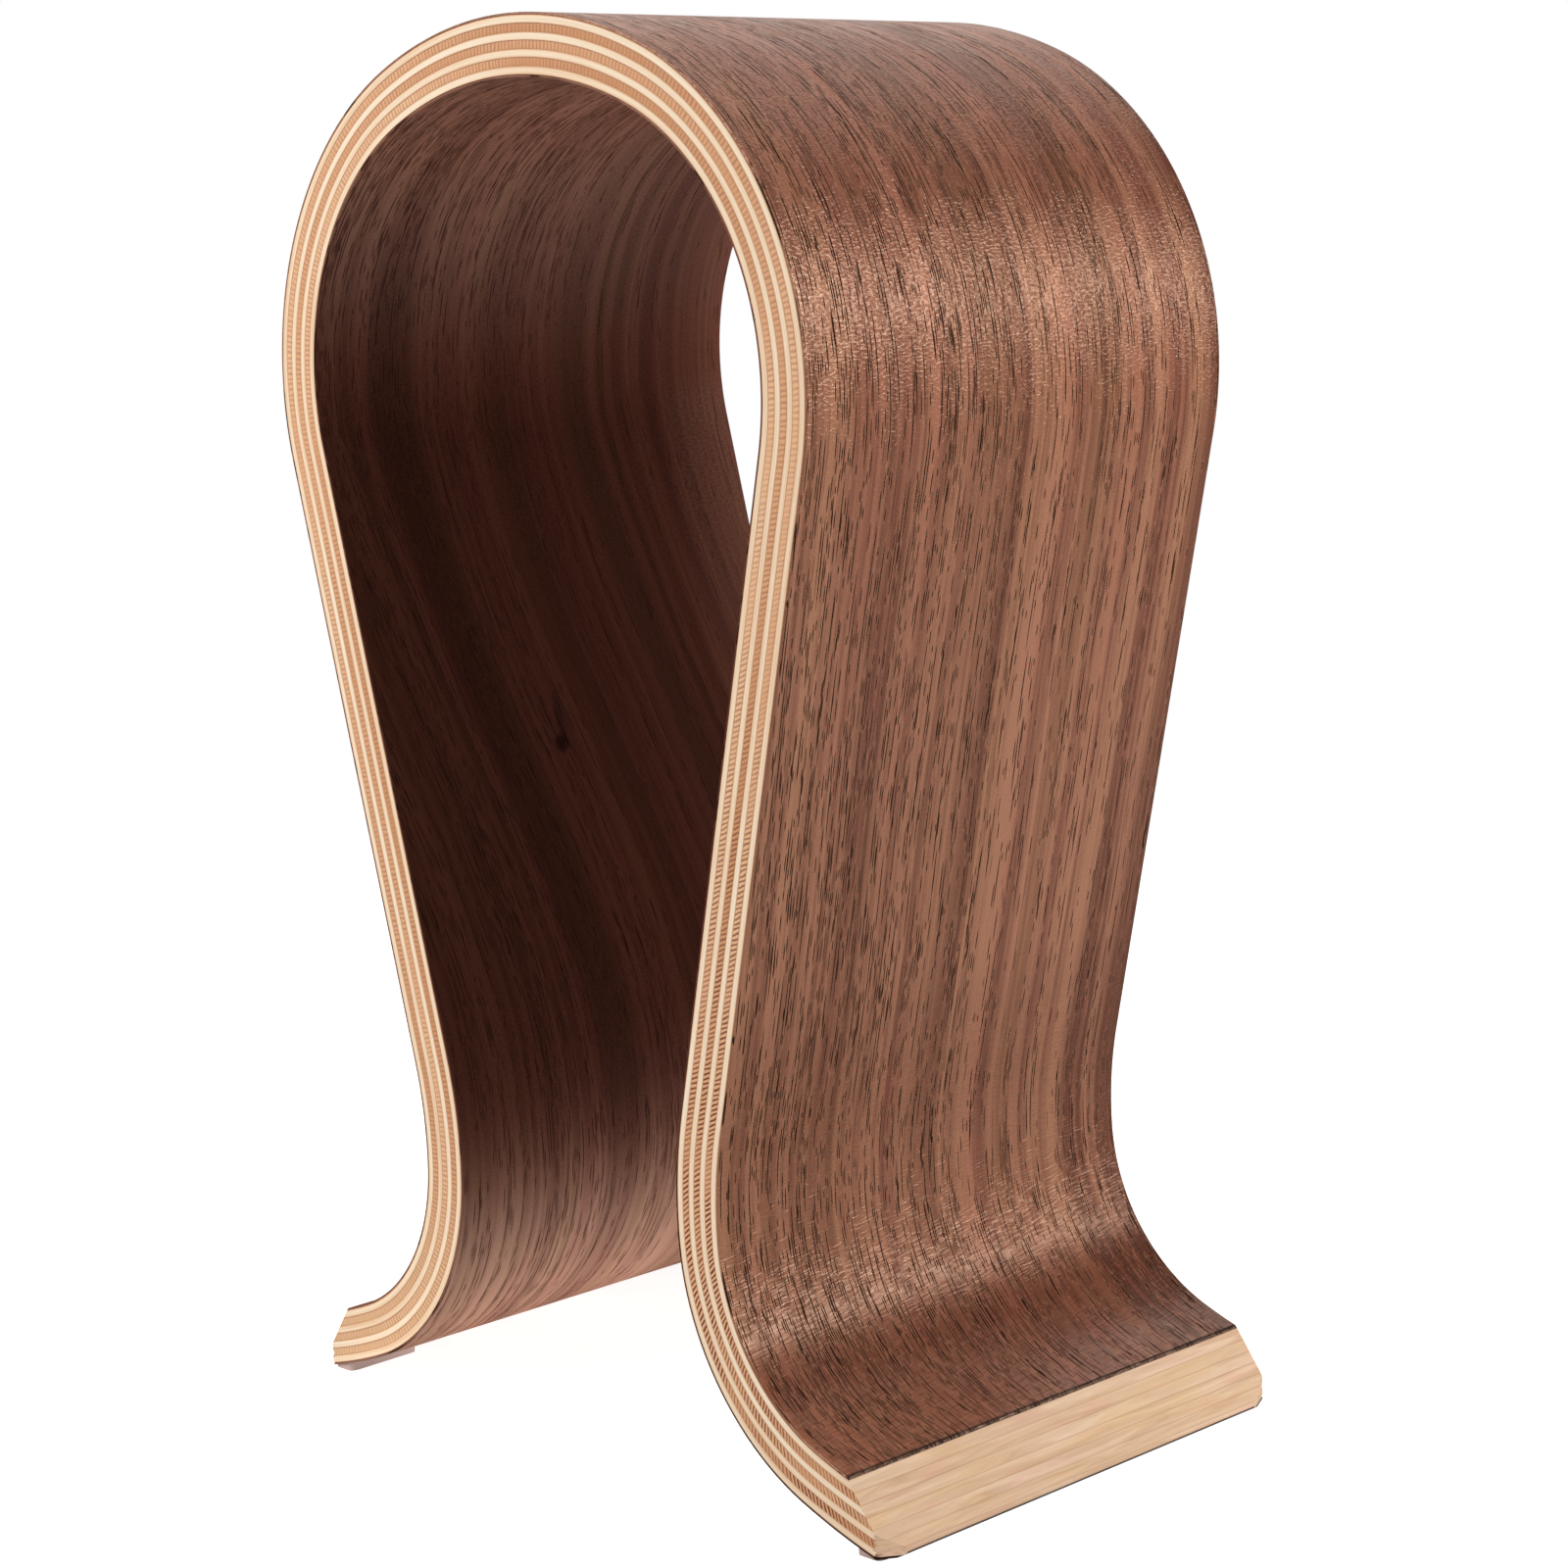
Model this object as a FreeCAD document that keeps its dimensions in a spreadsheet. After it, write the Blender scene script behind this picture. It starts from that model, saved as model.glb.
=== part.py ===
"""Headphone stand bent from one laminated strip.

The strip is glued from seven plies between two face veneers. It runs in one piece from the left toe,
up the left leg, over the crown and down the right leg to the right toe. Both legs lean inward, and the
feet sweep outward onto four thin pads. Lengths are in millimetres and angles in degrees.
"""

import FreeCAD, Part
import math
import os
import Sketcher

DRIVING_DIMENSIONS = {
    "overall_height": 285.0,
    "depth": 113.0,
    "ply_thickness": 1.57,
    "veneer_thickness": 0.5,
    # Bends of the strip's middle surface, from the crown down to one toe.
    "crown_radius": 92.1,
    "crown_angle": 23.4,
    "shoulder_radius": 61.2,
    "shoulder_angle": 80.0,
    "ankle_radius": 83.4,
    "ankle_angle": 16.1,
    "foot_radius": 45.4,
    "foot_angle": 65.7,
    "toe_radius": 141.3,
    "toe_centre_height": 143.4,
    # The blank is bent long and then trimmed at both toes.
    "blank_toe_angle": 12.0,
    "end_cut_angle": 54.3,
    "toe_corner_reach": 77.9,
    "toe_rounding": 1.2,
    "tip_reach": 87.3,
    "corner_ease_reach": 2.5,
    "corner_ease_length": 6.0,
    # Anti-slip pads under the four corners.
    "pad_width": 6.3,
    "front_pad_length": 18.0,
    "rear_pad_length": 12.0,
    "pad_block_height": 2.5,
    "pad_corner_radius": 1.5,
    "pad_inner_reach": 78.9,
    "pad_inset": 0.6,
}

PLY_NAMES = [
    "long_grain_ply_1",
    "cross_grain_ply_1",
    "long_grain_ply_2",
    "cross_grain_ply_2",
    "long_grain_ply_3",
    "cross_grain_ply_3",
    "long_grain_ply_4",
]
HALF_PLIES = len(PLY_NAMES) / 2
SHEET = "Dimensions"
START, END, CENTRE = 1, 2, 3  # the ends and the centre of a sketch edge
ORIGIN_POINT = (-1, 1)
VERTICAL_AXIS = -2
TRIANGLE_SCALE = 2  # a toe corner's cutting triangle against what it eases
LENGTH_TOLERANCE = 1e-6


def make_sheet(document):
    """The spreadsheet that holds the driving dimensions."""
    sheet = document.addObject("Spreadsheet::Sheet", SHEET)
    for row, (alias, value) in enumerate(DRIVING_DIMENSIONS.items(), start=1):
        sheet.set(f"A{row}", alias)
        sheet.set(f"B{row}", str(value))
        sheet.setAlias(f"B{row}", alias)
    document.recompute()
    return sheet


def cell(alias):
    """A length cell, as it is named in an expression."""
    return f"{SHEET}.{alias}"


def angle_cell(alias):
    """An angle cell, as it is named in an expression."""
    return f"{SHEET}.{alias} * 1 deg"


def layer_offset(plies, veneers):
    """Offset from the middle surface, outward positive, as an expression."""
    return f"({plies} * {cell('ply_thickness')} + {veneers} * {cell('veneer_thickness')})"


def offset_value(sheet, plies, veneers):
    """The same offset as a number, for the first placing of a sketch's edges."""
    return plies * sheet.ply_thickness + veneers * sheet.veneer_thickness


def origin_plane(body, role):
    """One of the body's own origin planes."""
    for feature in body.Origin.OriginFeatures:
        if feature.Role == role:
            return feature
    raise ValueError(role)


def new_sketch(body, name, role):
    """A sketch on one of the body's own origin planes."""
    sketch = body.newObject("Sketcher::SketchObject", name)
    sketch.AttachmentSupport = [(origin_plane(body, role), "")]
    sketch.MapMode = "FlatFace"
    return sketch


def constrain(sketch, expression, *arguments):
    """Adds a dimensional constraint and binds it to the sheet."""
    index = sketch.addConstraint(Sketcher.Constraint(*arguments))
    sketch.setExpression(f"Constraints[{index}]", expression)


def fix(sketch, *arguments):
    """Adds a geometric constraint."""
    sketch.addConstraint(Sketcher.Constraint(*arguments))


def direction(angle):
    """Unit vector at an angle from straight up, turning towards +X."""
    radians = math.radians(angle)
    return FreeCAD.Vector(math.sin(radians), math.cos(radians), 0)


def arc(centre, radius, first, last):
    """Arc between two directions that are measured from straight up."""
    low = math.radians(90 - max(first, last))
    high = math.radians(90 - min(first, last))
    return Part.ArcOfCircle(Part.Circle(centre, FreeCAD.Vector(0, 0, 1), radius), low, high)


def bend_centres(sheet):
    """Centres of the five bends, and the two ends of the leg's straight stretch."""
    lean = sheet.crown_angle + sheet.shoulder_angle
    half_strip = offset_value(sheet, HALF_PLIES, 1)
    crown_height = sheet.overall_height - half_strip - sheet.crown_radius
    crown = FreeCAD.Vector(0, crown_height, 0)
    shoulder = crown + direction(sheet.crown_angle) * (sheet.crown_radius - sheet.shoulder_radius)
    leg_top = shoulder + direction(lean) * sheet.shoulder_radius
    ankle_turn = direction(lean) * sheet.ankle_radius
    foot_turn = direction(lean - sheet.ankle_angle) * (sheet.foot_radius - sheet.ankle_radius)
    toe_slope = lean - sheet.ankle_angle - sheet.foot_angle
    toe_turn = direction(toe_slope) * (sheet.toe_radius - sheet.foot_radius)
    drop_of_bends = ankle_turn + foot_turn + toe_turn
    leg_drop = leg_top.y + drop_of_bends.y - sheet.toe_centre_height
    leg_bottom = leg_top + direction(lean + 90) * (leg_drop / -direction(lean + 90).y)
    ankle = leg_bottom + ankle_turn
    foot = ankle + foot_turn
    toe = foot + toe_turn
    return crown, shoulder, leg_top, leg_bottom, ankle, foot, toe


def add_bend_line(sketch, sheet, plies, veneers):
    """Adds one face line of the strip, from the crown to the toe, at a constant offset.

    Returns the edges in order: crown, shoulder, leg, ankle, foot and toe.
    """
    crown, shoulder, leg_top, leg_bottom, ankle, foot, toe = bend_centres(sheet)
    out = offset_value(sheet, plies, veneers)
    lean = sheet.crown_angle + sheet.shoulder_angle
    foot_start = lean - sheet.ankle_angle + 180
    toe_start = foot_start - sheet.foot_angle
    toe_end = toe_start - sheet.blank_toe_angle
    shift = direction(lean) * out
    edges = [
        sketch.addGeometry(arc(crown, sheet.crown_radius + out, 0, sheet.crown_angle)),
        sketch.addGeometry(arc(shoulder, sheet.shoulder_radius + out, sheet.crown_angle, lean)),
        sketch.addGeometry(Part.LineSegment(leg_top + shift, leg_bottom + shift)),
        sketch.addGeometry(arc(ankle, sheet.ankle_radius - out, lean + 180, foot_start)),
        sketch.addGeometry(arc(foot, sheet.foot_radius - out, foot_start, toe_start)),
        sketch.addGeometry(arc(toe, sheet.toe_radius - out, toe_start, toe_end)),
    ]
    crown_edge, shoulder_edge, leg_edge, ankle_edge, foot_edge, toe_edge = edges
    fix(sketch, "Tangent", crown_edge, START, shoulder_edge, END)
    fix(sketch, "Tangent", shoulder_edge, START, leg_edge, START)
    fix(sketch, "Tangent", leg_edge, END, ankle_edge, START)
    fix(sketch, "Tangent", ankle_edge, END, foot_edge, START)
    fix(sketch, "Tangent", foot_edge, END, toe_edge, START)
    fix(sketch, "PointOnObject", crown_edge, CENTRE, VERTICAL_AXIS)
    fix(sketch, "PointOnObject", crown_edge, END, VERTICAL_AXIS)

    offset = layer_offset(plies, veneers)
    to_outer_face = layer_offset(HALF_PLIES - plies, 1 - veneers)
    radii = [
        (crown_edge, "crown_radius", "+"),
        (shoulder_edge, "shoulder_radius", "+"),
        (ankle_edge, "ankle_radius", "-"),
        (foot_edge, "foot_radius", "-"),
        (toe_edge, "toe_radius", "-"),
    ]
    for edge, alias, sign in radii:
        radius = sketch.Geometry[edge].Radius
        constrain(sketch, f"{cell(alias)} {sign} {offset}", "Radius", edge, radius)
    angles = [
        (crown_edge, "crown_angle"),
        (shoulder_edge, "shoulder_angle"),
        (ankle_edge, "ankle_angle"),
        (foot_edge, "foot_angle"),
    ]
    for edge, alias in angles:
        turn = math.radians(sheet.get(alias))
        constrain(sketch, angle_cell(alias), "Angle", edge, turn)
    top = crown.y + sheet.crown_radius + out
    constrain(
        sketch, f"{cell('overall_height')} - {to_outer_face}",
        "DistanceY", *ORIGIN_POINT, crown_edge, END, top,
    )
    constrain(
        sketch, cell("toe_centre_height"),
        "DistanceY", *ORIGIN_POINT, toe_edge, CENTRE, toe.y,
    )
    return edges


def add_line(sketch, first, last):
    """Adds a straight edge between two sketch points."""
    return sketch.addGeometry(Part.LineSegment(first, last))


def add_seam(sketch, outer, inner):
    """Closes the half profile along the plane of symmetry."""
    seam = add_line(sketch, sketch.getPoint(outer[0], END), sketch.getPoint(inner[0], END))
    fix(sketch, "Coincident", seam, START, outer[0], END)
    fix(sketch, "Coincident", seam, END, inner[0], END)


def pad_both_ways(body, sketch, name):
    """Pads a sketch by the strip's depth, half to the front and half to the rear."""
    pad = body.newObject("PartDesign::Pad", name)
    pad.Profile = sketch
    pad.SideType = "Symmetric"
    pad.setExpression("Length", cell("depth"))
    return pad


def mirror_half(body, feature):
    """Completes a half strip by mirroring it across the plane of symmetry."""
    mirrored = body.newObject("PartDesign::Mirrored", f"{body.Name}_both_sides")
    mirrored.Originals = [feature]
    mirrored.MirrorPlane = (origin_plane(body, "YZ_Plane"), [""])
    body.Tip = mirrored


def make_blank(document, sheet, name, outer_offset, inner_offset):
    """One layer of the strip as it is bent, long at both toes."""
    body = document.addObject("PartDesign::Body", f"{name}_blank")
    sketch = new_sketch(body, f"{name}_profile", "XZ_Plane")
    outer = add_bend_line(sketch, sheet, *outer_offset)
    inner = add_bend_line(sketch, sheet, *inner_offset)
    add_seam(sketch, outer, inner)
    cap = add_line(sketch, sketch.getPoint(outer[-1], END), sketch.getPoint(inner[-1], END))
    fix(sketch, "Coincident", cap, START, outer[-1], END)
    fix(sketch, "Coincident", cap, END, inner[-1], END)
    sweep = math.radians(sheet.blank_toe_angle)
    for edge in (outer[-1], inner[-1]):
        constrain(sketch, angle_cell("blank_toe_angle"), "Angle", edge, sweep)
    pad = pad_both_ways(body, sketch, f"{name}_pad")
    document.recompute()
    mirror_half(body, pad)
    return body


def toe_corners(sheet):
    """Upper corner of the end cut, the lower end of its flat, and the centre of the rounding."""
    slope = math.radians(sheet.end_cut_angle)
    down_cut = FreeCAD.Vector(math.cos(slope), -math.sin(slope), 0)
    into_wood = FreeCAD.Vector(-math.sin(slope), -math.cos(slope), 0)
    half_strip = offset_value(sheet, HALF_PLIES, 1)
    toe_centre = bend_centres(sheet)[-1]
    across = sheet.toe_corner_reach - toe_centre.x
    drop = math.sqrt((sheet.toe_radius - half_strip) ** 2 - across ** 2)
    upper = FreeCAD.Vector(sheet.toe_corner_reach, toe_centre.y - drop, 0)
    # The rounding's centre is one rounding radius inside both the cut and the underside.
    start = upper + into_wood * sheet.toe_rounding - toe_centre
    reach = sheet.toe_radius + half_strip - sheet.toe_rounding
    along = start.dot(down_cut)
    length = -along + math.sqrt(along ** 2 + reach ** 2 - start.dot(start))
    centre = toe_centre + start + down_cut * length
    return upper, upper + down_cut * length, centre


def add_toe_end(sketch, sheet, outer, inner):
    """Ends the half profile with the slanted cut and the rounding under it."""
    slope = math.radians(sheet.end_cut_angle)
    upper, lower, centre = toe_corners(sheet)
    toe_centre = bend_centres(sheet)[-1]
    underside = centre - toe_centre
    cut = add_line(sketch, upper, lower)
    rounding = sketch.addGeometry(Part.ArcOfCircle(
        Part.Circle(centre, FreeCAD.Vector(0, 0, 1), sheet.toe_rounding),
        math.atan2(underside.y, underside.x),
        math.pi / 2 - slope,
    ))
    fix(sketch, "Coincident", outer[-1], END, cut, START)
    fix(sketch, "Tangent", cut, END, rounding, END)
    fix(sketch, "Tangent", rounding, START, inner[-1], END)
    constrain(sketch, f"-{angle_cell('end_cut_angle')}", "Angle", cut, -slope)
    constrain(
        sketch, cell("toe_corner_reach"),
        "DistanceX", *ORIGIN_POINT, cut, START, sheet.toe_corner_reach,
    )
    constrain(sketch, cell("toe_rounding"), "Radius", rounding, sheet.toe_rounding)


def add_corner_triangle(sketch, sheet, side):
    """A right-angled triangle that cuts one low toe corner; side is -1 in front and 1 at the rear.

    It is larger than the wood it eases, and stands out beyond both of the corner's faces.
    """
    overlap = (TRIANGLE_SCALE - 1) / 2
    reach = TRIANGLE_SCALE * sheet.corner_ease_reach
    length = TRIANGLE_SCALE * sheet.corner_ease_length
    corner = FreeCAD.Vector(
        sheet.tip_reach + overlap * sheet.corner_ease_reach,
        side * (sheet.depth / 2 + overlap * sheet.corner_ease_length),
        0,
    )
    along_face = corner - FreeCAD.Vector(reach, 0, 0)
    along_end = corner - FreeCAD.Vector(0, side * length, 0)
    face_leg = add_line(sketch, corner, along_face)
    slanted = add_line(sketch, along_face, along_end)
    end_leg = add_line(sketch, along_end, corner)
    fix(sketch, "Coincident", face_leg, END, slanted, START)
    fix(sketch, "Coincident", slanted, END, end_leg, START)
    fix(sketch, "Coincident", end_leg, END, face_leg, START)
    fix(sketch, "Horizontal", face_leg)
    fix(sketch, "Vertical", end_leg)
    constrain(sketch, f"{TRIANGLE_SCALE} * {cell('corner_ease_reach')}", "Distance", face_leg, reach)
    constrain(sketch, f"{TRIANGLE_SCALE} * {cell('corner_ease_length')}", "Distance", end_leg, length)
    constrain(
        sketch, f"{cell('tip_reach')} + {overlap} * {cell('corner_ease_reach')}",
        "DistanceX", *ORIGIN_POINT, face_leg, START, corner.x,
    )
    constrain(
        sketch, f"{side} * ({cell('depth')} / 2 + {overlap} * {cell('corner_ease_length')})",
        "DistanceY", *ORIGIN_POINT, face_leg, START, corner.y,
    )


def make_trimmed_outline(document, sheet):
    """The whole glued strip after both toes are cut, rounded and eased: the tool that trims each layer."""
    body = document.addObject("PartDesign::Body", "trimmed_outline")
    sketch = new_sketch(body, "trimmed_profile", "XZ_Plane")
    outer = add_bend_line(sketch, sheet, HALF_PLIES, 1)
    inner = add_bend_line(sketch, sheet, -HALF_PLIES, -1)
    add_seam(sketch, outer, inner)
    add_toe_end(sketch, sheet, outer, inner)
    pad = pad_both_ways(body, sketch, "trimmed_pad")
    corners = new_sketch(body, "eased_corners", "XY_Plane")
    for side in (-1, 1):
        add_corner_triangle(corners, sheet, side)
    document.recompute()
    before = pad.Shape.Volume
    ease = body.newObject("PartDesign::Pocket", "ease_corners")
    ease.Profile = corners
    ease.Type = "ThroughAll"
    ease.Reversed = True
    document.recompute()
    if ease.Shape.Volume >= before:
        raise RuntimeError("the eased corners cut nothing")
    mirror_half(body, pad)
    body.Tip.Originals = [pad, ease]
    return body


def layer_offsets():
    """Each layer's name with its outer and inner face, as numbers of plies and veneers from the middle."""
    layers = [("walnut_veneer_outer", (HALF_PLIES, 1), (HALF_PLIES, 0))]
    for index, name in enumerate(PLY_NAMES):
        outer_plies = HALF_PLIES - index
        layers.append((name, (outer_plies, 0), (outer_plies - 1, 0)))
    layers.append(("walnut_veneer_inner", (-HALF_PLIES, 0), (-HALF_PLIES, -1)))
    return layers


def make_layer(document, sheet, outline, name, outer_offset, inner_offset):
    """One finished layer: its bent blank, trimmed to the outline."""
    blank = make_blank(document, sheet, name, outer_offset, inner_offset)
    layer = document.addObject("Part::MultiCommon", name)
    layer.Shapes = [blank, outline]
    layer.Label = name
    return layer


def make_pad(document, sheet, outline, name, side, face, length_alias):
    """One pad: a rounded block whose top is cut to the foot's underside."""
    block = document.addObject("PartDesign::Body", f"{name}_block")
    sketch = new_sketch(block, f"{name}_plan", "XY_Plane")
    half_width = sheet.pad_width / 2
    length = sheet.get(length_alias)
    half_length = length / 2
    corners = [
        FreeCAD.Vector(-half_width, -half_length, 0),
        FreeCAD.Vector(half_width, -half_length, 0),
        FreeCAD.Vector(half_width, half_length, 0),
        FreeCAD.Vector(-half_width, half_length, 0),
    ]
    edges = [add_line(sketch, corners[i], corners[(i + 1) % 4]) for i in range(4)]
    for i in range(4):
        fix(sketch, "Coincident", edges[i], END, edges[(i + 1) % 4], START)
    fix(sketch, "Horizontal", edges[0])
    fix(sketch, "Vertical", edges[1])
    fix(sketch, "Horizontal", edges[2])
    fix(sketch, "Vertical", edges[3])
    constrain(sketch, cell("pad_width"), "Distance", edges[0], sheet.pad_width)
    constrain(sketch, cell(length_alias), "Distance", edges[1], length)
    centre_x = side * (sheet.pad_inner_reach + half_width)
    centre_y = face * (sheet.depth / 2 - sheet.pad_inset - half_length)
    fix(sketch, "Symmetric", edges[0], START, edges[1], END, *ORIGIN_POINT)
    pad = block.newObject("PartDesign::Pad", f"{name}_height")
    pad.Profile = sketch
    pad.setExpression("Length", cell("pad_block_height"))
    document.recompute()
    upright = [
        f"Edge{i}" for i, edge in enumerate(pad.Shape.Edges, start=1)
        if abs(edge.BoundBox.ZLength - sheet.pad_block_height) < LENGTH_TOLERANCE
    ]
    rounding = block.newObject("PartDesign::Fillet", f"{name}_corners")
    rounding.Base = (pad, upright)
    rounding.setExpression("Radius", cell("pad_corner_radius"))
    block.Placement = FreeCAD.Placement(FreeCAD.Vector(centre_x, centre_y, 0), FreeCAD.Rotation())
    block.setExpression(
        "Placement.Base.x", f"{side} * ({cell('pad_inner_reach')} + {cell('pad_width')} / 2)"
    )
    block.setExpression(
        "Placement.Base.y",
        f"{face} * (({cell('depth')} - {cell(length_alias)}) / 2 - {cell('pad_inset')})",
    )
    piece = document.addObject("Part::Cut", name)
    piece.Base = block
    piece.Tool = outline
    piece.Label = name
    return piece


def check(document, pieces):
    """Stops if any object failed or any piece is not one valid solid."""
    for item in document.Objects:
        if "Invalid" in item.State or "Error" in item.State:
            raise RuntimeError(f"{item.Name} is {item.State}")
    for piece in pieces:
        if piece.Shape.isNull() or not piece.Shape.isValid() or len(piece.Shape.Solids) != 1:
            raise RuntimeError(f"{piece.Label} is not one valid solid")


def main():
    document = FreeCAD.newDocument("headphone_stand")
    sheet = make_sheet(document)
    outline = make_trimmed_outline(document, sheet)
    pieces = []
    for name, outer_offset, inner_offset in layer_offsets():
        pieces.append(make_layer(document, sheet, outline, name, outer_offset, inner_offset))
    for face, face_name in ((-1, "front"), (1, "rear")):
        for side, side_name in ((-1, "left"), (1, "right")):
            name = f"anti_slip_pad_{face_name}_{side_name}"
            length_alias = f"{face_name}_pad_length"
            pieces.append(make_pad(document, sheet, outline, name, side, face, length_alias))
    document.recompute()
    check(document, pieces)
    os.makedirs("parts", exist_ok=True)
    for piece in pieces:
        piece.Shape.exportStep(f"parts/{piece.Label}.step")


main()
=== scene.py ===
"""Looks of the bent-laminated headphone stand: its layers, pads, woods, stage, lights and camera.

Lengths are in metres in the CAD frame. The strip runs from toe to toe over the crown. A place in the wood
is given by its station (the length along the strip's middle surface from the top of the crown, positive
to the right), its depth (the frame's Y) and its offset (outward from the middle surface).
"""

import math

import bpy
import numpy as np
from mathutils import Matrix, Vector


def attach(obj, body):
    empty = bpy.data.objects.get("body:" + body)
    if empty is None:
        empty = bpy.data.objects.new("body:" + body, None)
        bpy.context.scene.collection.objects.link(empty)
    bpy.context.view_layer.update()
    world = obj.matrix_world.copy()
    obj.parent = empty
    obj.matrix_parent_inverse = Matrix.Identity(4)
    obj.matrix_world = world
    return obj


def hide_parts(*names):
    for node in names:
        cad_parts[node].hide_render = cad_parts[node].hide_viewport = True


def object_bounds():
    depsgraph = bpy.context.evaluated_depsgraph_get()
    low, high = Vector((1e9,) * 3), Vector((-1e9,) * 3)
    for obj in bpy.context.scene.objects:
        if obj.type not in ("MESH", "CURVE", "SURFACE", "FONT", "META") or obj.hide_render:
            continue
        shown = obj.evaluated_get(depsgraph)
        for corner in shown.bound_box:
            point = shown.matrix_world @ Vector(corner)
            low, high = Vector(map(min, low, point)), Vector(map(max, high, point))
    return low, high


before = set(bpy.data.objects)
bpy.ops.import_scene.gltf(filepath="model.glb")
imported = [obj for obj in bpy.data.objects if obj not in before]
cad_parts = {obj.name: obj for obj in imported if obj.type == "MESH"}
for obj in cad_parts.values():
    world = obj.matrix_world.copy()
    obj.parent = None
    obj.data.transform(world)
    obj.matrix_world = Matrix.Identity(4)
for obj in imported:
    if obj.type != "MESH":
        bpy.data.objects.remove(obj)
cad_low, cad_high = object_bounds()

MM = 0.001
BODY = "root"

# The strip's bends, as they are in the CAD model.
HEIGHT = cad_high[2]
HALF_DEPTH = cad_high[1]
PLY = 1.57 * MM
VENEER = 0.5 * MM
PLY_COUNT = 7
HALF_CORE = PLY_COUNT * PLY / 2
HALF_STRIP = HALF_CORE + VENEER
CROWN_RADIUS, CROWN_TURN = 92.1 * MM, math.radians(23.4)
SHOULDER_RADIUS, SHOULDER_TURN = 61.2 * MM, math.radians(80.0)
ANKLE_RADIUS, ANKLE_TURN = 83.4 * MM, math.radians(16.1)
FOOT_RADIUS, FOOT_TURN = 45.4 * MM, math.radians(65.7)
TOE_RADIUS, TOE_TURN = 141.3 * MM, math.radians(12.0)
TOE_CENTRE_HEIGHT = 143.4 * MM
END_CUT_SLOPE = math.radians(54.3)
TOE_CORNER_REACH = 77.9 * MM
TOE_ROUNDING = 1.2 * MM
TIP_REACH = 87.3 * MM
CORNER_EASE_REACH = 2.5 * MM
CORNER_EASE_LENGTH = 6.0 * MM

# How far the long edges of the layers are eased, and how many points lie through each layer.
VENEER_EASE = 0.2 * MM
PLY_EASE = 0.06 * MM
OUTER_VENEER_LEVELS = 3
INNER_VENEER_LEVELS = 5
PLY_LEVELS = 4
INNERMOST_PLY_LEVELS = 8


def srgb(red, green, blue):
    """A colour given as eight-bit sRGB, as the linear colour that a shader takes."""
    def linear(value):
        value /= 255
        return value / 12.92 if value <= 0.04045 else ((value + 0.055) / 1.055) ** 2.4

    return (linear(red), linear(green), linear(blue), 1.0)


# ---------------------------------------------------------------- the strip's shape

LEAN = CROWN_TURN + SHOULDER_TURN
TOE_SLOPE = LEAN - ANKLE_TURN - FOOT_TURN


def leg_length():
    """The straight stretch takes up the height that the bends leave."""
    drop = CROWN_RADIUS * (1 - math.cos(CROWN_TURN))
    drop += SHOULDER_RADIUS * (math.cos(CROWN_TURN) - math.cos(LEAN))
    drop += ANKLE_RADIUS * (math.cos(LEAN - ANKLE_TURN) - math.cos(LEAN))
    drop += FOOT_RADIUS * (math.cos(TOE_SLOPE) - math.cos(LEAN - ANKLE_TURN))
    toe_start_height = TOE_CENTRE_HEIGHT - TOE_RADIUS * math.cos(TOE_SLOPE)
    return (HEIGHT - HALF_STRIP - drop - toe_start_height) / math.sin(LEAN)


def strip_runs():
    """The half strip's runs as (start station, start x, start z, start slope, curvature, length)."""
    bends = [
        (CROWN_TURN * CROWN_RADIUS, 1 / CROWN_RADIUS),
        (SHOULDER_TURN * SHOULDER_RADIUS, 1 / SHOULDER_RADIUS),
        (leg_length(), 0.0),
        (ANKLE_TURN * ANKLE_RADIUS, -1 / ANKLE_RADIUS),
        (FOOT_TURN * FOOT_RADIUS, -1 / FOOT_RADIUS),
        (TOE_TURN * TOE_RADIUS, -1 / TOE_RADIUS),
    ]
    station, x, z, slope = 0.0, 0.0, HEIGHT - HALF_STRIP, 0.0
    runs = []
    for length, curvature in bends:
        runs.append((station, x, z, slope, curvature, length))
        turned = slope + curvature * length
        if curvature:
            x += (math.sin(turned) - math.sin(slope)) / curvature
            z += (math.cos(turned) - math.cos(slope)) / curvature
        else:
            x += math.cos(slope) * length
            z -= math.sin(slope) * length
        station += length
        slope = turned
    return runs


RUNS = strip_runs()
BLANK_HALF_LENGTH = RUNS[-1][0] + RUNS[-1][5]
ROUNDING_SLACK = 1e-12
HALVINGS = 40


def on_strip(station, offset):
    """Frame X and Z of points at these stations and offsets."""
    station, offset = np.broadcast_arrays(np.asarray(station, float), np.asarray(offset, float))
    side = np.where(station < 0, -1.0, 1.0)
    along = np.abs(station)
    x, z, slope = np.zeros_like(along), np.zeros_like(along), np.zeros_like(along)
    for start, x0, z0, slope0, curvature, length in RUNS:
        here = along >= start - ROUNDING_SLACK
        run = along - start
        turned = slope0 + curvature * run
        if curvature:
            x = np.where(here, x0 + (np.sin(turned) - math.sin(slope0)) / curvature, x)
            z = np.where(here, z0 + (np.cos(turned) - math.cos(slope0)) / curvature, z)
        else:
            x = np.where(here, x0 + math.cos(slope0) * run, x)
            z = np.where(here, z0 - math.sin(slope0) * run, z)
        slope = np.where(here, turned, slope)
    x = x + offset * np.sin(slope)
    z = z + offset * np.cos(slope)
    return side * x, z


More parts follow.
